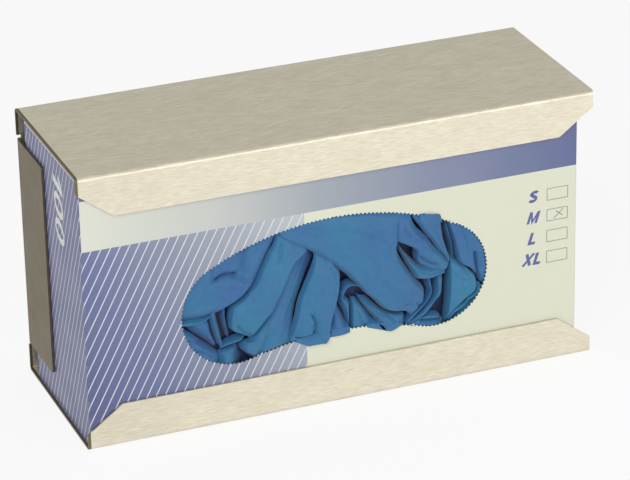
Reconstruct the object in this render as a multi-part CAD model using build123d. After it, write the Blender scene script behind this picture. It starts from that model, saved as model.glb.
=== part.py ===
"""Wall holder for one carton of disposable gloves.

A folded steel holder, open at its right end, carries a glued carton on its side. The carton's kidney opening
faces forwards and shows the outermost gloves of the pack.

Frame: millimetres, +Z up, +X to the right, the wall in the plane Y = 0 and the holder in front of it (Y < 0).
The origin is the centre of the wall screws' pattern, on the back plate's rear face.
"""

import math
import os
from build123d import *

# Carton: one card, folded and glued shut, standing on the bottom plate and pushed against the tab.
CARTON_WIDTH = 241.5
CARTON_DEPTH = 79.0
CARTON_HEIGHT = 130.0
CARD = 0.5
CARD_FOLD = 0.8
CARTON_TO_TAB = 0.3
CARTON_TO_RIGHT_END = 7.2
CARTON_TO_LIP = 0.5
CARTON_TO_BACK = 8.5
CARTON_TO_TOP = 2.0

# Holder: one sheet, folded four times along X round the carton, with a tab folded forward at the left.
SHEET = 1.0
BEND_INSIDE = 1.0
HOLDER_WIDTH = SHEET + CARTON_TO_TAB + CARTON_WIDTH + CARTON_TO_RIGHT_END
HOLDER_DEPTH = SHEET + CARTON_TO_LIP + CARTON_DEPTH + CARTON_TO_BACK + SHEET
HOLDER_HEIGHT = SHEET + CARTON_HEIGHT + CARTON_TO_TOP + SHEET
LIP_HEIGHT = 20.5
LIP_CUT_LENGTH = 17.0
LIP_CUT_HEIGHT = 12.5
LIP_CORNER = 1.5
TAB_DEPTH = 38.0
TAB_INSET = 15.0
TAB_CORNER = 2.0
RELIEF_WIDTH = 1.6

# Wall screws in the back plate.
SCREW_HOLE = 5.0
SCREW_SPACING_X = 180.0
SCREW_SPACING_Z = 70.0

# Kidney opening in the carton's front: two round ends joined by two shallow arcs that both bow upwards.
OPENING_END_RADIUS = 26.5
OPENING_END_SPACING = 97.8
OPENING_RISE_TOP = 38.4
OPENING_RISE_BOTTOM = 19.7
OPENING_ABOVE_BASE = 54.0

# Gloves.
STACK_CLEARANCE = 0.4
GLOVE_LAYER = 8.5
GLOVE_CLEARANCE = 0.3
STACK_CORNER = 4.0

# How far a cutting shape runs past what it cuts.
CUT_PAST = 1.0

BEND_OUTSIDE = BEND_INSIDE + SHEET
HALF_WIDTH = HOLDER_WIDTH / 2
HALF_HEIGHT = HOLDER_HEIGHT / 2
FRONT = -HOLDER_DEPTH

CARTON_LEFT = -HALF_WIDTH + SHEET + CARTON_TO_TAB
CARTON_RIGHT = CARTON_LEFT + CARTON_WIDTH
CARTON_FRONT = FRONT + SHEET + CARTON_TO_LIP
CARTON_BACK = CARTON_FRONT + CARTON_DEPTH
CARTON_BASE = -HALF_HEIGHT + SHEET
CARTON_TOP = CARTON_BASE + CARTON_HEIGHT

OPENING_X = (CARTON_LEFT + CARTON_RIGHT) / 2
OPENING_Z = CARTON_BASE + OPENING_ABOVE_BASE
OPENING_HALF_WIDTH = OPENING_END_SPACING / 2 + OPENING_END_RADIUS
STACK_FRONT = CARTON_FRONT + CARD + GLOVE_LAYER


def block(x_span, y_span, z_span):
    """A box between two limits on each axis."""
    spans = (x_span, y_span, z_span)
    size = [high - low for low, high in spans]
    middle = [(high + low) / 2 for low, high in spans]
    return Pos(*middle) * Box(*size)


def side_profile(y_span, z_span, radius):
    """A rounded rectangle in the YZ plane, looking along X."""
    width = y_span[1] - y_span[0]
    height = z_span[1] - z_span[0]
    centre = (0, (y_span[0] + y_span[1]) / 2, (z_span[0] + z_span[1]) / 2)
    plane = Plane(origin=centre, x_dir=(0, 1, 0), z_dir=(1, 0, 0))
    return plane * RectangleRounded(width, height, radius)


def lip_ends(side):
    """The slanted cuts at both ends of a lip. side is 1 for the upper lip and -1 for the lower one."""
    free_edge = side * (HALF_HEIGHT - LIP_HEIGHT)
    past_edge = free_edge - side * CUT_PAST
    cut_end = free_edge + side * LIP_CUT_HEIGHT
    cuts = []
    for end in (-1, 1):
        corner = end * HALF_WIDTH
        past_corner = end * (HALF_WIDTH + CUT_PAST)
        foot = end * (HALF_WIDTH - LIP_CUT_LENGTH)
        outline = make_face(Polyline((past_corner, past_edge), (past_corner, cut_end), (corner, cut_end),
                                     (foot, free_edge), (foot, past_edge), close=True))
        cuts.append(extrude(Plane.XZ.offset(CUT_PAST - FRONT) * outline, -(CUT_PAST + BEND_OUTSIDE)))
    return cuts


def left_tab():
    """The tab with its bend, as an L in plan, between its two relief cuts."""
    left = -HALF_WIDTH
    height = HOLDER_HEIGHT - 2 * TAB_INSET
    outer = [(left + BEND_OUTSIDE, 0), (left, -BEND_OUTSIDE), (left, -TAB_DEPTH)]
    inner = [(left + SHEET, -TAB_DEPTH), (left + SHEET, -BEND_OUTSIDE), (left + BEND_OUTSIDE, -SHEET)]
    bend_centre = Vector(left + BEND_OUTSIDE, -BEND_OUTSIDE)
    toward_corner = Vector(-math.sqrt(0.5), math.sqrt(0.5))
    plan = make_face([
        ThreePointArc(outer[0], bend_centre + toward_corner * BEND_OUTSIDE, outer[1]),
        Polyline(outer[1], outer[2], inner[0], inner[1]),
        ThreePointArc(inner[1], bend_centre + toward_corner * BEND_INSIDE, inner[2]),
        Line(inner[2], outer[0]),
    ])
    tab = extrude(Pos(0, 0, -height / 2) * plan, height)
    corners = tab.edges().filter_by(Axis.X).group_by(Axis.Y)[0]
    return fillet(corners, TAB_CORNER)


def make_holder():
    """The folded sheet: back, top and bottom plates, two lips and the left tab."""
    y_span = (FRONT, 0)
    z_span = (-HALF_HEIGHT, HALF_HEIGHT)
    outside = side_profile(y_span, z_span, BEND_OUTSIDE)
    inside = side_profile((FRONT + SHEET, -SHEET), (-HALF_HEIGHT + SHEET, HALF_HEIGHT - SHEET), BEND_INSIDE)
    sheet = Pos(-HALF_WIDTH, 0, 0) * extrude(outside - inside, HOLDER_WIDTH)
    lip_edge = HALF_HEIGHT - LIP_HEIGHT
    sheet -= block((-HALF_WIDTH - CUT_PAST, HALF_WIDTH + CUT_PAST), (FRONT - CUT_PAST, FRONT + BEND_OUTSIDE),
                   (-lip_edge, lip_edge))
    for side in (1, -1):
        for cut in lip_ends(side):
            sheet -= cut
    lip_corners = [edge for edge in sheet.edges().filter_by(Axis.Y)
                   if edge.center().Y < FRONT + SHEET and abs(edge.center().Z) < HALF_HEIGHT - BEND_OUTSIDE]
    sheet = fillet(lip_corners, LIP_CORNER)
    tab_half = HALF_HEIGHT - TAB_INSET
    sheet -= block((-HALF_WIDTH - CUT_PAST, -HALF_WIDTH + BEND_OUTSIDE), (-SHEET, 0),
                   (-tab_half - RELIEF_WIDTH, tab_half + RELIEF_WIDTH))
    sheet += left_tab()
    for x in (-SCREW_SPACING_X / 2, SCREW_SPACING_X / 2):
        for z in (-SCREW_SPACING_Z / 2, SCREW_SPACING_Z / 2):
            sheet -= Pos(x, -SHEET / 2, z) * Rot(90, 0, 0) * Cylinder(SCREW_HOLE / 2, SHEET + 2 * CUT_PAST)
    return sheet


def opening_outline(margin=0.0):
    """The kidney outline in the XZ plane, grown outwards by margin. Its four arcs meet tangentially."""
    end_radius = OPENING_END_RADIUS
    half = OPENING_END_SPACING / 2
    rise_top = OPENING_RISE_TOP
    rise_bottom = OPENING_RISE_BOTTOM
    top_radius = (half ** 2 + rise_top ** 2 - end_radius ** 2) / (2 * (rise_top - end_radius))
    bottom_radius = (half ** 2 + rise_bottom ** 2 - end_radius ** 2) / (2 * (end_radius - rise_bottom))
    top_centre = Vector(0, rise_top - top_radius)
    bottom_centre = Vector(0, -rise_bottom - bottom_radius)
    right_end = Vector(half, 0)
    grown = end_radius + margin
    top_right = right_end + (right_end - top_centre).normalized() * grown
    bottom_right = right_end + (bottom_centre - right_end).normalized() * grown
    top_left = Vector(-top_right.X, top_right.Y)
    bottom_left = Vector(-bottom_right.X, bottom_right.Y)
    outline = make_face([
        ThreePointArc(top_left, Vector(0, rise_top + margin), top_right),
        ThreePointArc(top_right, right_end + Vector(grown, 0), bottom_right),
        ThreePointArc(bottom_right, Vector(0, -rise_bottom - margin), bottom_left),
        ThreePointArc(bottom_left, Vector(-half - grown, 0), top_left),
    ])
    return Plane.XZ * (Pos(OPENING_X, OPENING_Z, 0) * outline)


def opening_prism(y_span, margin=0.0):
    """The opening's outline as a prism between two depths."""
    moved = Pos(0, y_span[1], 0) * opening_outline(margin)
    return extrude(moved, y_span[1] - y_span[0], dir=(0, -1, 0))


def make_carton():
    """The closed carton: a hollow card box with folded edges and the kidney opening in its front."""
    x_span = (CARTON_LEFT, CARTON_RIGHT)
    y_span = (CARTON_FRONT, CARTON_BACK)
    z_span = (CARTON_BASE, CARTON_TOP)
    shell = block(x_span, y_span, z_span)
    shell = fillet(shell.edges().filter_by(Axis.X) + shell.edges().filter_by(Axis.Z), CARD_FOLD)
    shell -= block(*[(low + CARD, high - CARD) for low, high in (x_span, y_span, z_span)])
    return shell - opening_prism((CARTON_FRONT - CUT_PAST, CARTON_FRONT + CARD + CUT_PAST))


def make_stack():
    """The packed rest of the gloves, behind the ones that lie in the opening."""
    inner = CARD + STACK_CLEARANCE
    stack = block((CARTON_LEFT + inner, CARTON_RIGHT - inner), (STACK_FRONT, CARTON_BACK - inner),
                  (CARTON_BASE + inner, CARTON_TOP - inner))
    return fillet(stack.edges().filter_by(Axis.Y), STACK_CORNER)


def fold_section(start, end, crest, trough, valleys):
    """One cross-section of a bunched glove, square to the carton's front.

    start and end are its two edges, in shares of the opening's half width and of its rise above the centre.
    crest and trough say how far its folds stand out from the carton's face, negative inside it, and the
    folds meet at the shares in valleys of the way across.
    """
    middle = Vector(OPENING_X, STACK_FRONT, OPENING_Z)
    left = middle + Vector(start[0] * OPENING_HALF_WIDTH, 0, start[1] * OPENING_RISE_TOP)
    right = middle + Vector(end[0] * OPENING_HALF_WIDTH, 0, end[1] * OPENING_RISE_TOP)
    stops = [0.0, *valleys, 1.0]
    points = [left]
    for here, there in zip(stops, stops[1:]):
        top = left + (right - left) * ((here + there) / 2)
        points.append(Vector(top.X, CARTON_FRONT - crest, top.Z))
        foot = left + (right - left) * there
        points.append(Vector(foot.X, CARTON_FRONT - trough, foot.Z))
    points[-1] = right
    return Face(Wire([Edge.make_spline(points), Edge.make_line(right, left)]))


def bunch(*sections):
    """A bunched glove, lofted through its cross-sections, less what the carton's front leaves no room for."""
    glove = loft([fold_section(*section) for section in sections])
    front_panel = block((CARTON_LEFT, CARTON_RIGHT),
                        (CARTON_FRONT - GLOVE_CLEARANCE, CARTON_FRONT + CARD + GLOVE_CLEARANCE),
                        (CARTON_BASE, CARTON_TOP))
    hole = opening_prism((CARTON_FRONT - CUT_PAST, CARTON_FRONT + CARD + CUT_PAST), -GLOVE_CLEARANCE)
    return glove - (front_panel - hole)


def make_gloves():
    """The gloves in the opening by name, from the outermost inwards."""
    return {
        "glove_large": bunch(
            ((-0.40, 0.80), (-0.06, 1.20), -2.0, -4.5, (0.5,)),
            ((-0.10, 0.44), (0.34, 1.06), -0.6, -2.6, (0.45,)),
            ((0.12, 0.12), (0.47, 0.50), 1.8, -0.9, (0.5,)),
            ((0.28, -0.27), (0.51, 0.12), 1.4, -1.4, (0.5,)),
            ((0.44, -0.52), (0.58, -0.26), -1.0, -3.8, (0.5,)),
        ),
        "glove_flap": bunch(
            ((0.34, 1.16), (0.66, 1.06), -1.4, -4.0, (0.5,)),
            ((0.45, 0.84), (0.72, 0.78), -0.6, -3.0, (0.5,)),
            ((0.53, 0.46), (0.75, 0.36), 1.0, -2.0, (0.5,)),
            ((0.50, 0.10), (0.745, -0.02), -0.5, -3.0, (0.45,)),
        ),
        "glove_fingers": bunch(
            ((-0.42, 0.92), (-0.04, 0.46), -3.5, -6.0, (0.42, 0.66)),
            ((-0.51, 0.42), (0.03, 0.10), 0.6, -3.0, (0.37, 0.61)),
            ((-0.66, 0.12), (0.02, -0.10), 1.4, -2.5, (0.39, 0.61)),
            ((-0.69, -0.17), (-0.02, -0.35), 1.8, -1.5, (0.33, 0.62)),
            ((-0.60, -0.46), (-0.04, -0.50), 2.4, 0.9, (0.20, 0.52)),
            ((-0.53, -0.64), (-0.07, -0.70), 1.8, 1.0, (0.20, 0.50)),
        ),
        "glove_upper_right": bunch(
            ((0.72, 1.0), (0.98, 0.66), -1.5, -4.5, (0.4,)),
            ((0.76, 0.52), (1.05, 0.22), -0.6, -3.5, (0.4,)),
            ((0.79, 0.15), (1.05, -0.05), -0.9, -3.0, (0.4,)),
            ((0.86, -0.04), (1.0, -0.18), -1.6, -4.0, (0.4,)),
        ),
        "glove_lower_right": bunch(
            ((0.75, 0.40), (0.92, 0.08), -3.0, -6.0, (0.6,)),
            ((0.74, 0.10), (1.05, -0.10), -1.2, -3.5, (0.6,)),
            ((0.73, -0.25), (1.05, -0.40), -0.9, -3.5, (0.55,)),
            ((0.72, -0.55), (0.98, -0.75), -1.2, -4.5, (0.5,)),
            ((0.72, -0.90), (0.86, -1.05), -2.5, -6.0, (0.5,)),
        ),
        "glove_upper_left": bunch(
            ((-0.80, 0.76), (-0.36, 1.14), -2.2, -4.5, (0.6,)),
            ((-1.04, 0.45), (-0.49, 0.50), -1.6, -4.5, (0.62,)),
            ((-1.08, 0.12), (-0.60, 0.20), -1.4, -3.5, (0.66,)),
            ((-1.04, -0.12), (-0.70, -0.04), -2.2, -5.0, (0.6,)),
        ),
        "glove_narrow_folds": bunch(
            ((0.52, 0.10), (0.73, 0.08), -4.0, -6.0, (0.33, 0.66)),
            ((0.50, -0.25), (0.725, -0.22), -2.4, -5.0, (0.33, 0.66)),
            ((0.45, -0.50), (0.715, -0.52), -2.2, -5.0, (0.38, 0.66)),
            ((0.44, -0.80), (0.71, -0.84), -2.4, -5.0, (0.4, 0.7)),
        ),
        "glove_lower_middle": bunch(
            ((-0.04, 0.28), (0.10, 0.14), -4.5, -6.0, (0.35, 0.7)),
            ((-0.02, -0.05), (0.26, -0.20), -2.6, -5.2, (0.4, 0.72)),
            ((-0.06, -0.36), (0.40, -0.46), -2.0, -5.2, (0.35, 0.7)),
            ((-0.08, -0.72), (0.46, -0.76), -2.0, -5.2, (0.35, 0.7)),
        ),
        "glove_lower_left": bunch(
            ((-1.05, 0.02), (-0.66, 0.08), -4.5, -7.0, (0.33, 0.66)),
            ((-1.02, -0.25), (-0.67, -0.14), -2.8, -5.6, (0.33, 0.66)),
            ((-0.92, -0.48), (-0.64, -0.37), -2.4, -5.4, (0.33, 0.66)),
            ((-0.90, -0.66), (-0.58, -0.52), -2.2, -5.4, (0.33, 0.66)),
            ((-0.92, -1.04), (-0.46, -0.86), -2.4, -5.4, (0.33, 0.66)),
        ),
    }


def set_apart(gloves):
    """Each glove gives way to those that lie outside it, so that neighbours meet and don't overlap."""
    placed = {}
    for name, glove in gloves.items():
        for outer in placed.values():
            glove = glove - outer
        placed[name] = glove.solids().sort_by(SortBy.VOLUME)[-1]
    return placed


if __name__ == "__main__":
    os.makedirs("parts", exist_ok=True)
    pieces = {"holder": make_holder(), "carton": make_carton(), "glove_stack": make_stack()}
    pieces.update(set_apart(make_gloves()))
    for name, piece in pieces.items():
        export_step(piece, f"parts/{name}.step")
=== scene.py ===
"""Looks of the glove dispenser: a brushed steel wall holder, a printed carton and its thin blue gloves."""

import math

import bmesh
import bpy
from mathutils import Matrix, Vector, noise


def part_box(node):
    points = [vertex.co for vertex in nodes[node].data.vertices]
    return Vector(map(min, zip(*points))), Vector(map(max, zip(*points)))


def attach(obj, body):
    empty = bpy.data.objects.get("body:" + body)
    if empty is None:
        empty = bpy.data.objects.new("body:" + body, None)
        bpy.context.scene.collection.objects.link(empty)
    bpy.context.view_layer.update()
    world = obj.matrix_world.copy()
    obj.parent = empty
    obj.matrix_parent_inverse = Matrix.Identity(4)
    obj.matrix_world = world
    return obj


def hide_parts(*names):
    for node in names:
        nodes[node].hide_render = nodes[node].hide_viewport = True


MM = 0.001

# Carton and opening, as the construction has them, in millimetres.
CARD = 0.5
CARTON_LENGTH = 241.5
OPENING_END_RADIUS = 26.5
OPENING_HALF_SPACING = 48.9
OPENING_RISE_TOP = 38.4
OPENING_RISE_BOTTOM = 19.7
OPENING_ABOVE_BASE = 54.0

# The room's strength as a light and where it is seen, and the share of glow in the floor that is seen.
WORLD_LIGHT = 0.5
WORLD_SEEN = 0.61
FLOOR_SEEN = 0.85
FLOOR_TONE = 0.93
FLOOR_ROUGHNESS = 0.9
FLOOR_SIZE = 4.0

# Camera, its angles in degrees and its lens in millimetres.
SENSOR = 36.0
LENS = 193.7
CAMERA_AZIMUTH = 21.01
CAMERA_ELEVATION = 24.62
CAMERA_ROLL = -1.24
CAMERA_DISTANCE = 1582.2 * MM
CAMERA_ASIDE = (-3.55 * MM, 3.84 * MM)
CLIP_NEAR = 0.01
CLIP_FAR = 50.0

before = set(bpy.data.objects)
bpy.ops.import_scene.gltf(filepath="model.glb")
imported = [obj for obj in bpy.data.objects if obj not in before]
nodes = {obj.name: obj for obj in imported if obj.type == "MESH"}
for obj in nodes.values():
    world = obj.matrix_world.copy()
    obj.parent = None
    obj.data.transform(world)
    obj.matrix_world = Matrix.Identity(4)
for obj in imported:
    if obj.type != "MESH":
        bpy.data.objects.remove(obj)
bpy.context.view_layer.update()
carton_low, carton_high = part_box("carton")
holder_low, holder_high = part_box("holder")

CARD_FACE = carton_low.y
OPENING_X = (carton_low.x + carton_high.x) / 2
OPENING_Z = carton_low.z + OPENING_ABOVE_BASE * MM


# ---------------------------------------------------------------- materials

class Nodes:
    """A material's node tree, with short ways to add and join nodes."""

    def __init__(self, name):
        self.material = bpy.data.materials.new(name)
        self.material.use_nodes = True
        self.tree = self.material.node_tree
        self.shader = self.tree.nodes["Principled BSDF"]
        self.place = self.add("ShaderNodeTexCoord").outputs["Object"]

    def add(self, kind, **settings):
        node = self.tree.nodes.new(kind)
        for key, value in settings.items():
            setattr(node, key, value)
        return node

    def join(self, source, target):
        if isinstance(source, (int, float)):
            target.default_value = source
        elif isinstance(source, tuple):
            target.default_value = source if len(source) == len(target.default_value) else (*source, 1.0)
        else:
            self.tree.links.new(source, target)

    def math(self, operation, a, b=0.0, c=0.0, clamp=False):
        node = self.add("ShaderNodeMath", operation=operation, use_clamp=clamp)
        for value, socket in zip((a, b, c), node.inputs):
            self.join(value, socket)
        return node.outputs[0]

    def ramp(self, value, low, high, to_low=0.0, to_high=1.0):
        """value's stretch from low to high, spread over to_low to to_high."""
        node = self.add("ShaderNodeMapRange", clamp=True)
        for source, socket in zip((value, low, high, to_low, to_high), node.inputs):
            self.join(source, socket)
        return node.outputs[0]

    def mix(self, share, a, b):
        node = self.add("ShaderNodeMix", data_type="RGBA")
        self.join(share, node.inputs[0])
        self.join(a, node.inputs[6])
        self.join(b, node.inputs[7])
        return node.outputs[2]

    def stretched(self, scale):
        node = self.add("ShaderNodeMapping")
        node.inputs["Scale"].default_value = scale
        self.join(self.place, node.inputs["Vector"])
        return node.outputs[0]

    def noise(self, vector, scale, detail=3.0, roughness=0.5):
        node = self.add("ShaderNodeTexNoise")
        self.join(vector, node.inputs["Vector"])
        node.inputs["Scale"].default_value = scale
        node.inputs["Detail"].default_value = detail
        node.inputs["Roughness"].default_value = roughness
        return node.outputs["Fac"]

    def bump(self, height, strength, distance):
        node = self.add("ShaderNodeBump")
        node.inputs["Strength"].default_value = strength
        node.inputs["Distance"].default_value = distance
        self.join(height, node.inputs["Height"])
        self.join(node.outputs[0], self.shader.inputs["Normal"])

    def axes(self):
        node = self.add("ShaderNodeSeparateXYZ")
        self.join(self.place, node.inputs[0])
        return node.outputs

    def set(self, **values):
        for key, value in values.items():
            socket = self.shader.inputs[key.replace("_", " ")]
            self.join(value, socket)


def linear(red, green, blue):
    """A screen colour of 0 to 255 as the shader's linear one."""
    def one(value):
        share = value / 255
        return share / 12.92 if share <= 0.04045 else ((share + 0.055) / 1.055) ** 2.4
    return (one(red), one(green), one(blue), 1.0)


# The middle stretch of a noise, where nearly all of its values lie.
NOISE_SPAN = (0.3, 0.7)

STEEL_TONES = ((214, 207, 185), (238, 232, 213))
STEEL_CLOUDED = (204, 191, 167)
# Painted shade: a dark tone mixed into the end tab's colour, standing in for the dim reflection it shows.
TAB_SHADE_TONE = (112, 101, 79)
TAB_SHADE_SHARE = 0.95
TAB_REACH = 1.2
GRAIN_STRETCH = (260, 2600, 2600)
STREAK_STRETCH = (150, 1500, 1500)
CLOUD_STRETCH = (60, 110, 110)
GRAIN_SHARE = 0.4
STREAK_SHARE = 0.6
STEEL_ROUGHNESS = (0.46, 0.56)
STEEL_BUMP = (0.16, 0.00004)


def brushed_steel():
    """Stainless sheet with a fine, short grain along the holder's length, and painted shade darkening the end
    tab.
    """
    steel = Nodes("brushed_steel")
    x = steel.axes()[0]
    grain = steel.noise(steel.stretched(GRAIN_STRETCH), 1.0, 3.0, 0.65)
    streak = steel.noise(steel.stretched(STREAK_STRETCH), 1.0, 2.0, 0.6)
    cloud = steel.noise(steel.stretched(CLOUD_STRETCH), 1.0, 4.0, 0.6)
    tone = steel.math("ADD", steel.math("MULTIPLY", grain, GRAIN_SHARE),
                      steel.math("MULTIPLY", streak, STREAK_SHARE))
    colour = steel.mix(steel.ramp(tone, 0.36, 0.64), *(linear(*shade) for shade in STEEL_TONES))
    colour = steel.mix(steel.ramp(cloud, 0.35, 0.7, 0.0, 0.22), colour, linear(*STEEL_CLOUDED))
    # Painted shade on the end tab: its colour is darkened to stand in for its dim reflection.
    tab = steel.math("LESS_THAN", steel.math("MULTIPLY", x, 1000), holder_low.x / MM + TAB_REACH)
    colour = steel.mix(steel.math("MULTIPLY", tab, TAB_SHADE_SHARE), colour, linear(*TAB_SHADE_TONE))
    steel.set(Base_Color=colour, Metallic=1.0)
    steel.set(Roughness=steel.ramp(steel.math("ADD", tone, cloud), 0.75, 1.25, *STEEL_ROUGHNESS))
    steel.bump(steel.math("ADD", grain, steel.math("MULTIPLY", cloud, 3.0)), *STEEL_BUMP)
    return steel.material


FILM_SINGLE = (44, 116, 152)
FILM_LAYERED = (52, 92, 150)
# Painted shade: the dark colour the film is turned to where it lies deep behind the card.
FILM_DEEP_SHADE = (28, 44, 84)
FILM_MOTTLE = (84, 138, 176)
FILM_ROUGHNESS = (0.48, 0.6)
FILM_SPECULAR = 0.35
FILM_SHEEN = 0.15
FILM_SHEEN_ROUGHNESS = 0.5
FILM_BUMP = (0.2, 0.00015)


def film():
    """Thin blue latex with a soft sheen: violet in layers, teal where single, and painted shade where it lies
    deep.
    """
    skin = Nodes("glove_film")
    # The layers attribute holds each fold's layered tint plus painted shade that grows with depth behind the
    # card.
    layers = skin.add("ShaderNodeAttribute", attribute_name="layers").outputs["Fac"]
    wide = skin.noise(skin.place, 60.0, 2.0)
    fine = skin.noise(skin.place, 1500.0, 3.0)
    layered_and_shaded = skin.math("ADD", layers, skin.ramp(wide, *NOISE_SPAN, -0.25, 0.25), clamp=True)
    colour = skin.mix(layered_and_shaded, linear(*FILM_SINGLE), linear(*FILM_LAYERED))
    # Painted shade: deep film is turned towards a dark colour.
    colour = skin.mix(skin.ramp(layers, 0.85, 1.7), colour, linear(*FILM_DEEP_SHADE))
    mottle = skin.ramp(skin.noise(skin.place, 420.0, 4.0), *NOISE_SPAN, 0.0, 0.12)
    colour = skin.mix(mottle, colour, linear(*FILM_MOTTLE))
    skin.set(Base_Color=colour)
    skin.set(Roughness=skin.ramp(fine, *NOISE_SPAN, *FILM_ROUGHNESS))
    skin.shader.inputs["Specular IOR Level"].default_value = FILM_SPECULAR
    skin.shader.inputs["Sheen Weight"].default_value = FILM_SHEEN
    skin.shader.inputs["Sheen Roughness"].default_value = FILM_SHEEN_ROUGHNESS
    skin.bump(skin.math("ADD", fine, skin.noise(skin.place, 380.0, 3.0)), *FILM_BUMP)
    return skin.material


# The print's places, in millimetres: heights from the carton's middle, lengths from its left end.
BAND_LOW = 30.6
BAND_HIGH = 55.1
FIELD_RIGHT = 105.7
STRIPE_PITCH = 4.02
STRIPE_HALF = 0.2
STRIPE_EDGE = 0.12
STRIPE_COVER = 0.92
STRIPE_LEAN = math.radians(28)
SIDE_SKIN = 0.2
FRONT_FROM = 0.4
FADE_LENGTH = 150.0
FADE_RISE = 0.5
FADE_BASE = 33.0
TORN_ALONG = (1.2, 240.0)
TORN_UP = 62.5
TORN_DEPTH = (0.05, 2.0)
TOP_EDGE = 63.3
WORN_FOLD = 0.7

FIELD_COLOURS = ((0.0, (84, 88, 132)), (0.3, (100, 110, 152)), (0.6, (138, 145, 165)),
                 (0.8, (160, 167, 178)), (1.0, (184, 190, 194)))
BAND_COLOURS = ((0.02, (214, 217, 203)), (0.26, (194, 197, 193)), (0.46, (158, 165, 173)),
                (0.66, (131, 140, 164)), (1.0, (91, 101, 146)))
SIDE_COLOUR = (98, 102, 146)
STRIPE_COLOUR = (218, 220, 226)
RIGHT_COLOUR = (218, 220, 199)
TOP_STRIP_COLOUR = (92, 94, 148)
TORN_COLOUR = (206, 203, 190)
TOP_EDGE_COLOUR = (222, 220, 206)
WORN_COLOUR = (220, 218, 208)
DUST_COLOUR = (190, 186, 172)
CARD_SPECULAR = 0.45
CARD_ROUGHNESS = (0.36, 0.46)
CARD_BUMP = (0.12, 0.0001)


def printed_card():
    """Carton: card with a fading band, a blue field with white pinstripes and a bare right field."""
    card = Nodes("printed_card")
    x, y, z = card.axes()
    from_left = card.math("MULTIPLY", card.math("SUBTRACT", x, carton_low.x), 1000)
    from_face = card.math("MULTIPLY", card.math("SUBTRACT", y, carton_low.y), 1000)
    up = card.math("MULTIPLY", z, 1000)
    along = card.math("SUBTRACT", from_left, from_face)

    def within(value, low, high):
        return card.math("MULTIPLY", card.math("GREATER_THAN", value, low),
                         card.math("LESS_THAN", value, high))

    above_base = card.math("MULTIPLY_ADD", up, FADE_RISE, FADE_BASE)
    paleness = card.math("DIVIDE", card.math("ADD", along, above_base), FADE_LENGTH)
    field = card.add("ShaderNodeValToRGB")
    fill_ramp(field, FIELD_COLOURS)
    card.join(paleness, field.inputs[0])
    side = card.math("LESS_THAN", from_left, SIDE_SKIN)
    ground = card.mix(side, field.outputs[0], linear(*SIDE_COLOUR))

    lean = card.math("SUBTRACT", card.math("MULTIPLY", along, math.cos(STRIPE_LEAN)),
                     card.math("MULTIPLY", up, math.sin(STRIPE_LEAN)))
    turns = card.math("FRACT", card.math("DIVIDE", lean, STRIPE_PITCH))
    off_line = card.math("MULTIPLY", card.math("ABSOLUTE", card.math("SUBTRACT", turns, 0.5)), STRIPE_PITCH)
    stripe = card.ramp(off_line, STRIPE_HALF, STRIPE_HALF + STRIPE_EDGE, 1.0, 0.0)
    ground = card.mix(card.math("MULTIPLY", stripe, STRIPE_COVER), ground, linear(*STRIPE_COLOUR))

    right = card.math("GREATER_THAN", along, FIELD_RIGHT)
    ground = card.mix(right, ground, linear(*RIGHT_COLOUR))

    band = card.add("ShaderNodeValToRGB")
    fill_ramp(band, BAND_COLOURS)
    card.join(card.math("DIVIDE", along, CARTON_LENGTH), band.inputs[0])
    on_front = card.math("GREATER_THAN", along, FRONT_FROM)
    in_band = card.math("MULTIPLY", card.math("GREATER_THAN", up, BAND_LOW), on_front)
    ground = card.mix(in_band, ground, band.outputs[0])
    above = card.math("MULTIPLY", card.math("GREATER_THAN", up, BAND_HIGH), on_front)
    ground = card.mix(above, ground, linear(*TOP_STRIP_COLOUR))

    inside = card.math("MULTIPLY", within(from_left, *TORN_ALONG),
                       card.math("LESS_THAN", card.math("ABSOLUTE", up), TORN_UP))
    torn = card.math("MULTIPLY", inside, within(from_face, *TORN_DEPTH))
    ground = card.mix(torn, ground, linear(*TORN_COLOUR))

    top_edge = card.math("MULTIPLY", side, card.math("GREATER_THAN", up, TOP_EDGE))
    ground = card.mix(top_edge, ground, linear(*TOP_EDGE_COLOUR))
    rub = card.noise(card.place, 300.0, 4.0, 0.7)
    fold = card.math("MULTIPLY", card.math("LESS_THAN", card.math("ABSOLUTE", from_left), WORN_FOLD),
                     card.math("LESS_THAN", card.math("ABSOLUTE", from_face), WORN_FOLD))
    worn = card.math("MULTIPLY", fold, card.ramp(rub, 0.5, 0.62, 0.0, 0.2))
    ground = card.mix(worn, ground, linear(*WORN_COLOUR))

    cloud = card.ramp(card.noise(card.place, 25.0, 3.0), *NOISE_SPAN, 0.0, 0.05)
    ground = card.mix(cloud, ground, linear(*DUST_COLOUR))
    gloss = card.ramp(card.noise(card.place, 55.0, 3.0), *NOISE_SPAN, *CARD_ROUGHNESS)
    card.set(Base_Color=ground, Roughness=gloss)
    card.shader.inputs["Specular IOR Level"].default_value = CARD_SPECULAR
    fibre = card.noise(card.place, 2600.0, 2.0)
    wave = card.noise(card.place, 30.0, 2.0)
    card.bump(card.math("ADD", fibre, card.math("MULTIPLY", wave, 6.0)), *CARD_BUMP)
    return card.material


def fill_ramp(node, stops):
    """The stops of a colour ramp, as (share, screen colour) from low to high."""
    elements = node.color_ramp.elements
    while len(elements) < len(stops):
        elements.new(0.5)
    for element, (share, colour) in zip(elements, stops):
        element.position = share
        element.color = linear(*colour)


INK_ROUGHNESS = 0.45
INK_PALER = 1.12
INK_LIFT = 0.01


def plain(name, colour):
    """A printing ink with a fine, slightly paler mottle."""
    ink = Nodes(name)
    grain = ink.noise(ink.place, 1200.0, 3.0)
    paler = tuple(min(1.0, value * INK_PALER + INK_LIFT) for value in colour[:3])
    ink.set(Base_Color=ink.mix(ink.ramp(grain, 0.35, 0.65), colour, (*paler, 1.0)), Roughness=INK_ROUGHNESS)
    return ink.material


steel_finish = brushed_steel()
film_finish = film()
card_finish = printed_card()


def dress(obj, material):
    """Give a piece this one material."""
    obj.data.materials.clear()
    obj.data.materials.append(material)


# ---------------------------------------------------------------- gloves

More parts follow.
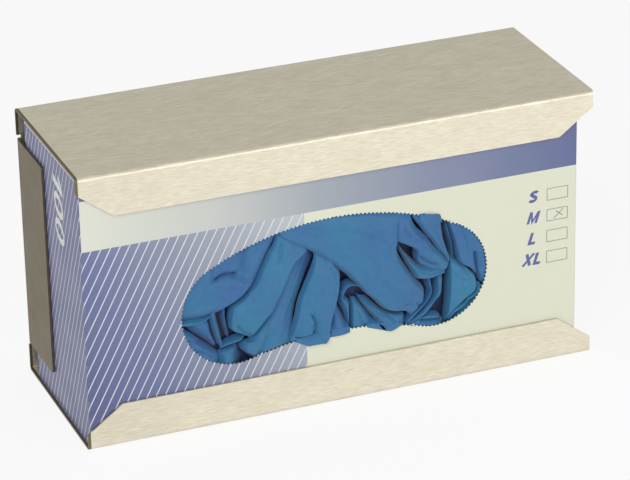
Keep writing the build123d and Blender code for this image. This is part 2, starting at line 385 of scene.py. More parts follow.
RIM_DEPTH = -1.4
RIM_EASE = 1.3
OVER_RIM = 0.5
OVER_REACH = 1.5
OVER_SLOPE = 2.5
SOFT_STEP = 1.0
WAVER = 0.35
FILM = 0.12
# Painted shade: how much darker the film is painted per millimetre behind the card, beyond DEEP_FROM
# millimetres.
DEEP_SHADE = 0.16
DEEP_FROM = 2.5
WAVER_SCALE = (0.16, 0.13)
WAVER_SEED = 7.3
WAVER_OFFSET = Vector((9, 4, 1))
BROAD_WAVE = 2.4
BROAD_SCALE = (0.11, 0.08)
FOLD_WAVE = 1.2
FOLD_SCALE = (7.0, 2.4)
FOLD_SEED = 3.1
FINE_WAVE = 0.5
FINE_SCALE = (0.5, 0.4)
FINE_SEED = 1.7
PLAIN_TINT = 0.5
LOBE_SEED = 1.7
NAME_SEED = 0.37


def beyond_opening(x, z):
    """How far a place on the carton's face lies outside the opening, negative inside it, in millimetres."""
    half, end = OPENING_HALF_SPACING, OPENING_END_RADIUS
    top, low = OPENING_RISE_TOP, OPENING_RISE_BOTTOM
    top_radius = (half ** 2 + top ** 2 - end ** 2) / (2 * (top - end))
    low_radius = (half ** 2 + low ** 2 - end ** 2) / (2 * (end - low))
    top_centre, low_centre = top - top_radius, -low - low_radius
    x = abs(x)
    from_end = math.hypot(x - half, z) - end
    above = half * (z - top_centre) + top_centre * x > 0
    below = half * (z - low_centre) + low_centre * x > 0
    upper = math.hypot(x, z - top_centre) - top_radius if above else from_end
    lower = low_radius - math.hypot(x, z - low_centre) if below else from_end
    return max(upper, lower)


def smooth_between(rows, share):
    """The values at share of the way through rows of numbers, on a smooth curve through all of them."""
    spot = share * (len(rows) - 1)
    index = min(int(spot), len(rows) - 2)
    t = spot - index
    before, here, there, after = (rows[max(0, min(len(rows) - 1, index + step))] for step in (-1, 0, 1, 2))
    return [0.5 * (2 * p1 + (p2 - p0) * t + (2 * p0 - 5 * p1 + 4 * p2 - p3) * t * t
                   + (3 * p1 - p0 - 3 * p2 + p3) * t ** 3)
            for p0, p1, p2, p3 in zip(before, here, there, after)]


def across(folds, share):
    """How far a fold stands out at share of the way across: round ridges that meet in sharp creases."""
    for (t0, out0), (t1, out1) in zip(folds, folds[1:]):
        if share <= t1:
            s = (share - t0) / max(t1 - t0, 1e-6)
            if abs(out1 - out0) < SOFT_STEP:
                return out0 + (out1 - out0) * s * s * (3 - 2 * s)
            if out1 > out0:
                return out0 + (out1 - out0) * math.sin(s * math.pi / 2)
            return out1 + (out0 - out1) * math.sin((1 - s) * math.pi / 2)
    return folds[-1][1]


def from_path(x, z, path):
    """The distance from a place to a bent line."""
    nearest = 1e9
    for (x0, z0), (x1, z1) in zip(path, path[1:]):
        dx, dz = x1 - x0, z1 - z0
        t = max(0.0, min(1.0, ((x - x0) * dx + (z - z0) * dz) / (dx * dx + dz * dz)))
        nearest = min(nearest, math.hypot(x - x0 - t * dx, z - z0 - t * dz))
    return nearest


def lobe(bm, rows, seed, over=None, creases=(), dents=(), crinkle=0.22, sag=0.0, fine=(56, 80)):
    """One fold of film: a grid through rows of (start, end, ((share across, out), ...)), in millimetres from
    the opening's centre. over is the box (low x, low z, high x, high z, lean) in which it hangs outside the
    card, lean being how fast the overhang grows from the box's sides. A crease is (depth, width, path) and a
    dent (x, z, half width, half height, depth)."""
    flat_rows = [[*start, *end, *[value for fold in folds for value in fold]] for start, end, folds in rows]
    made = bmesh.ops.create_grid(bm, x_segments=fine[0], y_segments=fine[1], size=0.5)["verts"]
    for vertex in made:
        s, v = vertex.co.x + 0.5, 0.5 - vertex.co.y
        values = smooth_between(flat_rows, v)
        x = values[0] + (values[2] - values[0]) * s
        z = values[1] + (values[3] - values[1]) * s - sag * math.sin(math.pi * s) * v ** 4
        out = across(list(zip(values[4::2], values[5::2])), s)
        spot = Vector((x * WAVER_SCALE[0], z * WAVER_SCALE[1], seed * WAVER_SEED))
        x += WAVER * noise.noise(spot)
        z += WAVER * noise.noise(spot + WAVER_OFFSET)
        out += crinkle * BROAD_WAVE * noise.noise(Vector((x * BROAD_SCALE[0], z * BROAD_SCALE[1], seed)))
        out += crinkle * FOLD_WAVE * noise.noise(
            Vector((s * FOLD_SCALE[0], v * FOLD_SCALE[1], seed * FOLD_SEED)))
        out += crinkle * FINE_WAVE * noise.noise(
            Vector((x * FINE_SCALE[0], z * FINE_SCALE[1], seed * FINE_SEED)))
        for depth, width, path in creases:
            out -= depth * math.exp(-from_path(x, z, path) / width)
        for dent_x, dent_z, wide, high, depth in dents:
            out -= depth * math.exp(-((x - dent_x) / wide) ** 2 - ((z - dent_z) / high) ** 2)
        beyond = beyond_opening(x, z)
        within = min(x - over[0], over[2] - x, z - over[1], over[3] - z) if over else -1.0
        if within > 0 and beyond < over[4] * within:
            out = max(out, OVER_RIM - OVER_SLOPE * max(0.0, -beyond - OVER_REACH))
        else:
            out = min(out, RIM_DEPTH + RIM_EASE * max(0.0, -beyond))
        vertex.co = Vector((OPENING_X + x * MM, CARD_FACE - out * MM, OPENING_Z + z * MM))
    return made


def glove(name, node_name, lobes, flat):
    """A bunched glove of several folds, as one piece of film. flat, the width and length in millimetres of
    the film that shows laid flat, is not used."""
    bm = bmesh.new()
    layers = bm.verts.layers.float.new("layers")
    for index, settings in enumerate(lobes):
        settings = dict(settings)
        tint = settings.pop("tint", PLAIN_TINT)
        made = lobe(bm, seed=index * LOBE_SEED + len(name) * NAME_SEED, **settings)
        for vertex in made:
            # Painted shade: the layers value grows with the film's depth behind the card, on top of the
            # fold's own tint.
            deep = (vertex.co.y - CARD_FACE) / MM - DEEP_FROM
            vertex[layers] = tint + max(0.0, deep) * DEEP_SHADE
        turn_forward(bm, {face for vertex in made for face in vertex.link_faces})
    for face in bm.faces:
        face.smooth = True
    mesh = bpy.data.meshes.new(name)
    bm.to_mesh(mesh)
    bm.free()
    piece = bpy.data.objects.new(name, mesh)
    bpy.context.scene.collection.objects.link(piece)
    dress(piece, film_finish)
    thickness = piece.modifiers.new("film_thickness", "SOLIDIFY")
    thickness.thickness = FILM * MM
    thickness.offset = -1.0
    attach(piece, "root")
    if node_name:
        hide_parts(node_name)


def turn_forward(bm, faces):
    """A fold's outer side faces out of the carton."""
    for face in faces:
        face.normal_update()
    back = [face for face in faces if face.normal.y > 0]
    if len(back) > len(faces) / 2:
        bmesh.ops.reverse_faces(bm, faces=list(faces))


HID = ((0, -5), (.3, -3.6), (.7, -3.6), (1, -5))

LARGE = [dict(tint=.45, rows=(
    ((-29, 35), (-24, 45), ((0, -4), (.2, -2), (.5, -2), (.8, -2), (1, -4))),
    ((-25, 30.6), (-12, 46), ((0, -3.2), (.08, -1), (.5, -.9), (.8, -1.6), (1, -4))),
    ((-12.5, 23), (8, 47), ((0, -2.6), (.08, .4), (.4, .4), (.75, -.8), (1, -4))),
    ((-3.7, 16.1), (24, 46), ((0, -2.2), (.07, 1.3), (.4, 1.6), (.7, .4), (1, -4))),
    ((4.5, 8.5), (35, 34), ((0, -2), (.07, 2.0), (.4, 2.3), (.8, 1.2), (1, -.6))),
    ((9.9, 2.2), (31.2, 17.5), ((0, -2), (.07, 2.2), (.5, 2.9), (.86, 2.0), (1, -3.2))),
    ((15.5, -4.5), (35.2, 6.5), ((0, -2), (.08, 2.2), (.5, 2.9), (.86, 2.0), (1, -3.2))),
    ((21.2, -10.6), (39.9, -1), ((0, -2), (.1, 2.0), (.5, 2.6), (.86, 1.6), (1, -3))),
    ((26, -14.8), (44.2, -7), ((0, -2.2), (.12, 1.6), (.5, 2.2), (.86, 1.0), (1, -3))),
    ((30.5, -15.4), (44.2, -12), ((0, -2.6), (.15, 1.2), (.5, 1.5), (.86, .2), (1, -3.4))),
    ((34.4, -16.6), (42.2, -15.2), ((0, -3), (.2, .2), (.5, .5), (.8, -.6), (1, -3.6))),
    ((36.6, -19.6), (40, -17.6), ((0, -4.5), (.2, -2), (.5, -2), (.8, -2.4), (1, -4.5))),
), creases=(
    (-.8, 3.6, ((22, 28), (28, 14), (31.4, 4))),
    (.6, 2.6, ((15, 27), (22.6, 16), (27.6, 2))),
    (.45, 1.6, ((2, 31), (14, 26.5), (22, 22))),
    (-.35, 1.8, ((1, 24), (10, 14), (17, 4), (24, -5))),
    (.5, .6, ((36.4, -7.6), (40.6, -8.8), (44, -9.2))),
    (.5, .6, ((38.2, -10.4), (43.6, -11.3))),
    (1.3, .7, ((39.2, -12.7), (41.4, -14.6), (43.8, -15.9))),
    (.8, .7, ((30, -13.2), (33, -12.2), (37, -13.2))),
    (.7, .8, ((33.4, -14.4), (36.2, -10.5), (40, -8))),
), fine=(110, 150))]

FLAP = [
    dict(tint=.5, rows=(
        ((31, 39), (36, 40), HID),
        ((29.2, 29), (37.2, 31.5), ((0, .2), (.2, 1.9), (.55, 1.7), (1, -.8))),
        ((29.6, 21.2), (39.4, 26.4), ((0, .4), (.12, 3.0), (.55, 2.6), (1, -.6))),
        ((34.6, 17.5), (42.6, 22.6), ((0, -1), (.14, 2.9), (.55, 2.7), (1, -.4))),
        ((38.6, 14.6), (45.8, 18.8), ((0, -2.5), (.14, 2.6), (.6, 2.8), (1, -.2))),
        ((39.4, 9), (50, 12.6), ((0, -2.5), (.12, 2.3), (.6, 2.9), (1, .2))),
        ((43, 5.0), (53.6, 8.8), ((0, -1.5), (.15, 2.0), (.6, 2.4), (1, 0))),
        ((49, 1.0), (56, 4.2), ((0, -1.5), (.2, 1.3), (.6, 1.4), (1, -1))),
        ((52.4, -1.4), (56, .4), HID),
    ), creases=(
        (2.0, .8, ((40.4, 11.6), (44.6, 8.0), (48.8, 5.6))),
        (1.4, .7, ((42.6, 6.4), (46.8, 3.6), (51.2, 2.2))),
        (.9, 1.3, ((33.2, 27), (37.2, 20.2), (40, 17.6))),
        (-.5, 1.4, ((36.5, 26), (42, 18.5), (46.5, 12.5))),
    ), fine=(72, 110)),
    dict(tint=.6, rows=(
        ((37.6, 33.2), (51.4, 30.4), ((0, -1.2), (.3, .8), (.7, 1.2), (1, .4))),
        ((38.8, 29.6), (52.1, 27.6), ((0, -.4), (.25, 2.3), (.7, 2.2), (1, -.8))),
        ((42.4, 24), (52.8, 23.2), ((0, -.4), (.3, 2.9), (.7, 2.3), (1, -1.8))),
        ((46, 18.8), (53.7, 17), ((0, -.4), (.35, 3.0), (.7, 2.4), (1, -1.8))),
        ((50, 12.9), (55, 11), ((0, -.2), (.45, 3.0), (.8, 2.2), (1, -1.8))),
        ((53.4, 9.2), (56, 7), ((0, -.4), (.4, 2.2), (.7, 1.8), (1, -2))),
        ((54.8, 4), (56, 2), ((0, -2.4), (.4, -1), (.7, -1), (1, -3))),
    ), over=(41, 20, 60, 46, .3), creases=((.6, .9, ((47.6, 29), (49.8, 20), (53, 12.5))),), fine=(56, 90)),
    dict(tint=.35, rows=(
        ((29.2, 21.5), (30.3, 21.8), ((0, -3.4), (.45, -1.4), (1, -5))),
        ((30.8, 16.6), (32.4, 16.9), ((0, -3), (.45, 1.4), (1, -5.6))),
        ((33.6, 10.8), (36.2, 11.9), ((0, -2.8), (.42, 2.4), (1, -5.6))),
        ((36.4, 4.4), (40.4, 7), ((0, -2.6), (.4, 2.8), (1, -3))),
        ((39.8, -1), (44.2, 4.8), ((0, -2.6), (.4, 3.0), (1, -1))),
        ((46, -1.9), (48.6, 3.1), ((0, -3), (.4, 2.4), (1, -1))),
        ((53, -1.8), (54.6, 2), ((0, -4), (.5, 0), (1, -3))),
    ), creases=((.5, .7, ((36, 8.6), (40.4, 1.8), (47, 1))),), fine=(36, 96)),
]

FINGERS = [
    dict(tint=.3, rows=(
        ((-29, 36), (-17, 30), ((0, -5), (.12, -3.6), (.4, -3.4), (.85, -3.6), (1, -5))),
        ((-28.6, 31), (-12.4, 22.9), ((0, -3.6), (.1, -1.4), (.4, -.7), (.85, -1.2), (1, -4))),
        ((-32.4, 24.4), (-18.2, 18.9), ((0, -3.4), (.12, -.5), (.4, .5), (.85, .4), (1, -3.6))),
        ((-36.2, 17.6), (-23.2, 11.1), ((0, -3.2), (.12, 0), (.4, 1.1), (.86, 1.2), (1, -3.2))),
        ((-40, 10.5), (-27, 3.3), ((0, -3.2), (.12, .4), (.4, 1.6), (.87, 1.6), (1, -3))),
        ((-45.3, 5.6), (-30.4, -3.2), ((0, -3.2), (.12, .6), (.45, 2.0), (.88, 1.7), (1, -2.8))),
        ((-51, 2.2), (-33.2, -6.2), ((0, -4.4), (.09, .4), (.45, 2.0), (.88, 1.6), (1, -2.8))),
        ((-52.4, -4), (-36, -9), ((0, -4.8), (.09, .4), (.5, 1.8), (.88, 1.3), (1, -2.8))),
        ((-51.6, -9), (-38.8, -12), ((0, -4.8), (.11, .2), (.5, 1.2), (.88, .7), (1, -3.2))),
        ((-47.2, -11.8), (-40.4, -14.6), ((0, -4.8), (.2, -.2), (.5, .1), (.85, -.6), (1, -3.8))),
        ((-43.6, -14), (-41.6, -16.2), ((0, -5), (.2, -2.4), (.5, -2.4), (.85, -2.6), (1, -5))),
    ), creases=(
        (1.5, .8, ((-48.4, -7.6), (-45.6, -11), (-42.6, -13.6))),
        (1.5, 1.1, ((-25.6, 28), (-26.6, 24.5), (-27.6, 20.5))),
        (-.5, 2.2, ((-24, 12), (-30, 4), (-35.5, -5))),
        (.5, 2.6, ((-41, 6.5), (-45.5, -5))),
    ), fine=(84, 130)),
    dict(tint=.42, rows=(
        ((-16, 24.5), (-8.5, 19), ((0, -6), (.5, -5.8), (1, -6.8))),
        ((-21, 18), (-10.2, 15.4), ((0, -4.2), (.3, -4.2), (1, -6.4))),
        ((-26, 10), (-12.8, 10.6), ((0, -3.4), (.25, -2.5), (1, -5.8))),
        ((-30, 1), (-16.4, 3), ((0, -2.8), (.25, -1.3), (1, -5))),
        ((-34.6, -7), (-18.9, -4), ((0, -2.6), (.3, -.1), (1, -4.2))),
        ((-39, -12.4), (-20.2, -10), ((0, -2.8), (.3, .9), (1, -3.6))),
        ((-42.8, -15.8), (-21.4, -16.4), ((0, -3.4), (.2, 1.2), (1, -2.6))),
        ((-46.4, -16.8), (-21.6, -21.4), ((0, -4.8), (.14, .9), (1, -2))),
        ((-46.2, -21), (-22, -25), ((0, -4.8), (.14, .3), (1, -2))),
        ((-41, -26.6), (-23, -29), ((0, -5), (.3, -2), (1, -4))),
    ), creases=(
        (1.7, 1.6, ((-34.4, -15.6), (-36, -19), (-37.4, -23))),
        (.5, .6, ((-22.7, -6.7), (-26, -7.2), (-29.3, -8.4))),
        (-.5, 1.6, ((-25, -12), (-31, -20))),
    ), fine=(80, 120)),
    dict(tint=.3, rows=(
        ((-10.5, 23), (-1, 19.5), ((0, -5), (.1, -4), (.5, -4), (.85, -3.6), (1, -5))),
        ((-9.8, 18.8), (0, 13.6), ((0, -3.2), (.1, -1.4), (.5, -.9), (.85, -.5), (1, -3))),
        ((-12.6, 11.8), (2.4, 9.4), ((0, -2.8), (.1, .2), (.5, .6), (.85, 1.3), (1, -2.4))),
        ((-15.8, 5.4), (2.6, 1.6), ((0, -2.6), (.08, .6), (.5, 1.0), (.86, 2.0), (1, -2.6))),
        ((-18.6, -1.8), (.8, -6), ((0, -2.6), (.08, .8), (.5, 1.2), (.86, 2.2), (1, -2.8))),
        ((-20.6, -9.2), (-1.2, -12), ((0, -2.4), (.08, .9), (.5, 1.8), (.86, 2.5), (1, -2.4))),
        ((-22.4, -15.5), (-2.5, -17), ((0, -2.4), (.08, 1.0), (.5, 2.0), (.86, 2.6), (1, -1.4))),
        ((-23.6, -19.4), (-3.7, -21.2), ((0, -2.2), (.1, .6), (.45, 1.7), (.86, 2.5), (1, .2))),
        ((-20.4, -22.6), (-5, -26.2), ((0, -.6), (.14, .9), (.45, 1.4), (.86, 2.0), (1, .6))),
        ((-19.4, -21.8), (-5.6, -24.9), ((0, -.8), (.14, .4), (.45, .6), (.86, .6), (1, .4))),
    ), over=(-20.5, -30, 0, -15, .6), creases=(
        (2.4, 1.5, ((-12.4, -9.6), (-11.2, -13), (-11, -16.4), (-13, -19.2), (-16.6, -20.2))),
        (-1.0, 2.2, ((-15.5, -8), (-14.2, -13), (-15.6, -16.4))),
        (.5, 1.0, ((-2.6, 13), (-1, 5), (-3, -9))),
        (-.5, 1.4, ((-8.5, 12), (-10, -2))),
    ), dents=((-15.6, -18.7, 4.6, 1.3, 4.2),), sag=.8, fine=(96, 140)),
    dict(tint=.3, rows=(
        ((-18.6, -5), (-15.4, -4), ((0, -.6), (.6, .2), (1, -.6))),
        ((-19.4, -9), (-13.6, -8.4), ((0, -.2), (.5, 1.6), (.84, 1.6), (1, -.6))),
        ((-20.4, -13), (-12.2, -12.6), ((0, .2), (.5, 2.4), (.84, 2.7), (1, -.8))),
        ((-21.4, -16.6), (-12, -16.6), ((0, .3), (.5, 2.8), (.84, 3.0), (1, -1))),
        ((-21.6, -17.6), (-12.8, -17.5), ((0, .2), (.5, 2.6), (.84, 2.6), (1, -1))),
        ((-21.4, -18.3), (-14.8, -17.9), ((0, -1), (.5, 1.9), (.84, 1.7), (1, -1.6))),
        ((-21.2, -18.6), (-17, -18.2), ((0, -3), (.5, -1.2), (1, -3))),
    ), fine=(44, 64)),
]

UPPER_LEFT = [dict(tint=.6, rows=(
    ((-57, 37), (-25, 38), ((0, -4), (.3, -3), (.6, -3), (.86, -3), (1, -5))),
    ((-63, 30), (-28, 31.2), ((0, -2.5), (.3, -1.2), (.6, -1.4), (.86, -1.6), (1, -4.2))),
    ((-70, 23), (-32, 24.2), ((0, -2.5), (.3, -.8), (.6, -1.1), (.86, -.9), (1, -4.2))),
    ((-76, 15.5), (-35.8, 17.4), ((0, -2.5), (.3, -.7), (.6, -.7), (.87, -.3), (1, -4.2))),
    ((-79, 8.5), (-39.6, 10.3), ((0, -2.5), (.3, -.6), (.6, -.3), (.87, 0), (1, -4.2))),
    ((-79.5, 4.2), (-45.6, 5.2), ((0, -2.5), (.3, -.8), (.6, -.4), (.87, -.3), (1, -4.4))),
    ((-79, 1.4), (-51.6, 2.2), ((0, -3), (.3, -1.4), (.6, -1.0), (.87, -1.2), (1, -4.8))),
    ((-76, -1.6), (-55.5, -1), ((0, -5), (.3, -4), (.6, -4), (.87, -4.4), (1, -6))),
), creases=(
    (3.8, .9, ((-57.8, 16.6), (-55.4, 18), (-51.8, 18.6), (-48.6, 17.8))),
    (1.4, .9, ((-48.6, 17.8), (-45.6, 16), (-43.8, 13))),
    (2.0, 1.8, ((-44, 30), (-44.4, 24), (-45.4, 19))),
    (1.0, 1.0, ((-59.6, 22), (-59.2, 15))),
    (.6, 1.2, ((-58.5, 13.5), (-52, 10.6), (-45.6, 10.8))),
    (-1.1, 2.4, ((-56, 13.6), (-50, 13.6), (-46.6, 13))),
    (.5, 2.4, ((-70, 4), (-62, 7), (-54, 6.5))),
    (-.5, 2.4, ((-41.5, 22), (-46, 8), (-54, 4))),
), fine=(110, 100))]

LOWER_LEFT = [
    dict(tint=.25, rows=(
        ((-77, -.4), (-77, -4.4), ((0, -4.6), (.35, -1.2), (1, -5.4))),
        ((-70, -1), (-70.6, -5.4), ((0, -4.6), (.35, -.8), (1, -5.4))),
        ((-64, -1.4), (-65, -4.6), ((0, -4.6), (.35, -1.3), (1, -5.4))),
        ((-59.6, -.8), (-60, -2.6), ((0, -5), (.35, -3), (1, -5.8))),
    ), fine=(32, 48)),
    dict(tint=.7, rows=(
        ((-67, -2.6), (-72.4, -4.8), ((0, -4), (.3, -3.4), (1, -5.4))),
        ((-62.4, -3), (-68.2, -9), ((0, -3.2), (.25, -1.8), (1, -6))),
        ((-60.8, -9), (-63.6, -13.4), ((0, -3.2), (.25, -1.9), (1, -6))),
        ((-58, -15.6), (-59, -17.6), ((0, -4), (.3, -3.2), (1, -6))),
    ), fine=(40, 56)),
    dict(tint=.3, rows=(
        ((-61.6, 2), (-57, 2.4), ((0, -6.6), (.45, -2.6), (1, -7))),
        ((-61, -4), (-56.5, -4), ((0, -6.4), (.4, -.5), (1, -7))),
        ((-59.8, -10), (-55, -10.6), ((0, -6.4), (.45, -.3), (1, -7))),
        ((-57.4, -16.8), (-54.4, -15.8), ((0, -6), (.5, -1.6), (1, -6.4))),
    ), creases=((1.4, .6, ((-58.6, -2), (-57.6, -9), (-56.2, -14))),), fine=(44, 64)),
    dict(tint=.35, rows=(
        ((-55.6, 4), (-52.6, 4.6), ((0, -7), (.5, -2.6), (1, -7))),
        ((-55.3, -3), (-52.9, -3), ((0, -6.8), (.45, -1.3), (1, -7))),
        ((-54, -9), (-52.2, -9.6), ((0, -6.8), (.45, -1.4), (1, -7))),
        ((-52.8, -13.6), (-51.2, -13.8), ((0, -6.4), (.5, -3), (1, -7))),
    ), fine=(32, 56)),
    dict(tint=.25, rows=(
        ((-56.6, -16.4), (-56.2, -18.8), ((0, -5.4), (.5, -2.4), (1, -5.6))),
        ((-51, -14.2), (-50.4, -17.1), ((0, -5.4), (.5, -.6), (1, -5.6))),
        ((-47.4, -13.2), (-46.4, -16), ((0, -5.4), (.5, -.6), (1, -5.6))),
        ((-44, -12.8), (-44, -15.2), ((0, -6), (.5, -3.2), (1, -6))),
    ), fine=(32, 56)),
    dict(tint=.55, rows=(
        ((-75, -4), (-80, -7), ((0, -5), (.2, -2.2), (.6, -1.6), (1, -3.4))),
        ((-68.8, -9.4), (-79, -16), ((0, -5.4), (.2, -1.4), (.6, -1.0), (1, -3.2))),
        ((-64, -14), (-73, -25), ((0, -5.6), (.2, -1.2), (.6, -.9), (1, -3.2))),
        ((-58.8, -18.6), (-65, -30.5), ((0, -5.6), (.2, -1.3), (.6, -1.0), (1, -3.2))),
        ((-57, -20.4), (-57.6, -32), ((0, -5.8), (.2, -3.4), (.6, -2.8), (1, -4.4))),
    ), creases=(
        (1.2, .9, ((-73.1, -11.9), (-69, -12.2), (-65.8, -13.6), (-61, -17.4))),
        (.8, 1.0, ((-69, -17.5), (-64, -19), (-60.4, -22))),
        (-.5, 1.2, ((-70, -14.6), (-64.6, -16.4), (-60.6, -20))),
    ), fine=(64, 72)),
    dict(tint=.5, rows=(
        ((-57, -20), (-57, -32), ((0, -5.8), (.2, -3.6), (.7, -3), (1, -4.6))),
        ((-54.4, -19), (-54, -32), ((0, -5), (.2, -1.2), (.7, -1.2), (1, -3.2))),
        ((-51, -18), (-50.6, -31.5), ((0, -5), (.2, -1.6), (.7, -1.8), (1, -3.4))),
        ((-48.4, -17.4), (-47.4, -30.5), ((0, -6), (.2, -4.6), (.7, -4.6), (1, -5.6))),
        ((-46.4, -17), (-45, -29), ((0, -7.4), (.2, -7), (.7, -7), (1, -7.4))),
    ), creases=((.7, .9, ((-56, -23), (-52, -21), (-48.6, -23))),), fine=(48, 56)),
]

LOWER_MIDDLE = [
    dict(tint=.6, rows=(
        ((-2, 5), (1.6, 3), ((0, -6.6), (.5, -4.6), (1, -6.6))),
        ((-2.4, -5), (1.6, -6), ((0, -6), (.5, -2.4), (1, -6))),
        ((-3.4, -12), (4.2, -12), ((0, -6), (.55, -1.5), (1, -6))),
        ((-4.8, -17.6), (5.8, -17.6), ((0, -4), (.6, -.1), (1, -4.4))),
        ((-5.6, -21.9), (6.2, -20.7), ((0, -.2), (.6, 1.0), (1, -.2))),
        ((-5.5, -21.5), (6.1, -20.4), ((0, -.2), (.6, .3), (1, -.2))),
    ), over=(-9, -28, 7.4, -14, .9), fine=(48, 72)),
    dict(tint=.3, rows=(
        ((1, -3), (4.6, -3.6), ((0, -6.4), (.5, -3.4), (1, -6.6))),
        ((2, -6.4), (7.8, -7.4), ((0, -5.8), (.55, -1.0), (1, -6))),
        ((4.4, -12), (7.5, -12.4), ((0, -5.8), (.5, -.9), (1, -6))),
        ((5.9, -18), (7, -18.4), ((0, -5.6), (.5, -1.7), (1, -5.8))),
        ((6.3, -24), (7, -24), ((0, -6), (.5, -3.6), (1, -6))),
    ), fine=(32, 60)),
    dict(tint=.35, rows=(
        ((1.4, -4.4), (4.4, -5.4), ((0, -5.2), (.5, -1.6), (1, -6))),
        ((2.2, .6), (6, -1.8), ((0, -5.2), (.5, -.6), (1, -6.4))),
        ((5.2, 3.4), (8, .4), ((0, -5.2), (.5, -.2), (1, -6.6))),
        ((9.6, 3.2), (10.2, -.2), ((0, -5.2), (.5, -.4), (1, -6.6))),
        ((14, -.4), (13.6, -2.2), ((0, -5), (.5, -2), (1, -6.4))),
    ), creases=((.8, .6, ((2.6, -3), (4.4, .2), (8, 1.6), (11, .8))),), fine=(36, 64)),
    dict(tint=.35, rows=(
        ((8.6, -5.4), (11, -6), ((0, -6.6), (.2, -5), (.6, -5), (1, -6.6))),
        ((7.9, -8.6), (12.8, -9), ((0, -5.6), (.2, -1.8), (.6, -2), (1, -5.6))),
        ((7.4, -14), (16.2, -14.2), ((0, -5.4), (.15, -1.2), (.6, -1.0), (1, -5.2))),
        ((7, -18), (19.2, -18.2), ((0, -5.2), (.12, -1.0), (.6, -.8), (1, -5))),
        ((6.8, -22), (23.6, -22), ((0, -4.8), (.12, -1.4), (.6, -1.2), (1, -2.6))),
        ((6.6, -27), (25, -26), ((0, -5), (.12, -3.2), (.6, -3), (1, -3))),
    ), over=(14.6, -34, 30, -12, .26), creases=((.8, 1.2, ((11, -12), (14, -20))),
                                                (-.4, 1.2, ((9, -11), (10.4, -19)))), fine=(72, 80)),
    dict(tint=.4, rows=(
        ((11.2, -4.6), (16, -6.2), ((0, -6.6), (.25, -4.6), (.6, -4.6), (1, -5.6))),
        ((12.6, -8.4), (21, -11.6), ((0, -5.2), (.25, -1.2), (.6, -1.6), (1, -5.2))),
        ((16.4, -14), (27.4, -16), ((0, -4.8), (.25, -.2), (.6, -.6), (1, -4.6))),
        ((19.8, -18.6), (34, -17.6), ((0, -4.2), (.25, .8), (.6, .4), (1, -4))),
        ((21.4, -21.4), (34, -20.8), ((0, -2.6), (.25, 1.4), (.6, 1.1), (1, -2.2))),
        ((24.2, -24.6), (33, -22.2), ((0, -.2), (.25, 1.3), (.6, 1.2), (1, -.6))),
        ((25, -23.9), (32, -21.8), ((0, -.2), (.25, .5), (.6, .5), (1, -.6))),
    ), over=(19, -28, 32.6, -17, .6), creases=(
        (1.3, 1.2, ((22.5, -11), (26, -16.5), (29, -21))), (.7, .8, ((31, -18), (31.6, -23))),
        (-.5, 1.2, ((17, -12), (22, -19), (25, -22)))), sag=.5, fine=(64, 88)),
]

NARROW_FOLDS = [
    dict(tint=.55, rows=(
        ((43.5, .6), (49.2, .6), ((0, -6), (.5, -3), (1, -6))),
        ((44.4, -4), (48.6, -4), ((0, -5.6), (.5, -.2), (1, -6))),
        ((46.2, -8.6), (48.4, -9), ((0, -5.6), (.5, -.1), (1, -6))),
        ((44.2, -12.6), (46.6, -12.8), ((0, -5.2), (.5, .2), (1, -6))),
        ((40.6, -15.6), (42.6, -16.8), ((0, -5), (.5, .3), (1, -6))),
        ((36.4, -19), (38.6, -21.2), ((0, -5), (.5, -.2), (1, -5.6))),
        ((33.4, -22.4), (35.6, -26), ((0, -5), (.5, -1.6), (1, -5))),
    ), fine=(36, 80)),
    dict(tint=.4, rows=(
        ((49.2, 1.4), (54.8, 1.4), ((0, -6), (.35, -3), (1, -6))),
        ((49.1, -4), (54.8, -4), ((0, -5.6), (.35, 1.2), (1, -5.8))),
        ((48.7, -10), (54.2, -9.6), ((0, -5.6), (.35, 1.4), (1, -5.8))),
        ((46.6, -13.4), (51.2, -14), ((0, -5.4), (.35, 1.2), (1, -5.8))),
        ((42.9, -16.8), (46.6, -19), ((0, -5), (.4, .8), (1, -5.6))),
        ((38.2, -20.4), (41, -23), ((0, -4.8), (.4, -.2), (1, -5.4))),
        ((34.8, -23.6), (36.6, -27), ((0, -5), (.4, -2), (1, -5))),
    ), creases=((1.2, .7, ((51.8, -1), (51.4, -9), (48.6, -14), (45, -17.4))),), fine=(44, 96)),
    dict(tint=.5, rows=(
        ((35.4, -23.8), (35.4, -31), ((0, -4.8), (.2, -2.2), (.5, -1.8), (1, -3.4))),
        ((40, -21.4), (40, -31), ((0, -5.2), (.2, -.7), (.5, -.6), (1, -3.2))),
        ((46, -20), (46, -32), ((0, -5.4), (.2, -.6), (.5, -.6), (1, -3.2))),
        ((51, -21.2), (51, -32), ((0, -5.6), (.2, -.9), (.5, -.9), (1, -3.2))),
        ((54, -24), (54, -31), ((0, -6.4), (.2, -3.4), (.5, -3.2), (1, -4.4))),
    ), creases=((3.6, .8, ((42.6, -23.2), (47, -23.8), (52.4, -24.6))),), fine=(48, 56)),
]

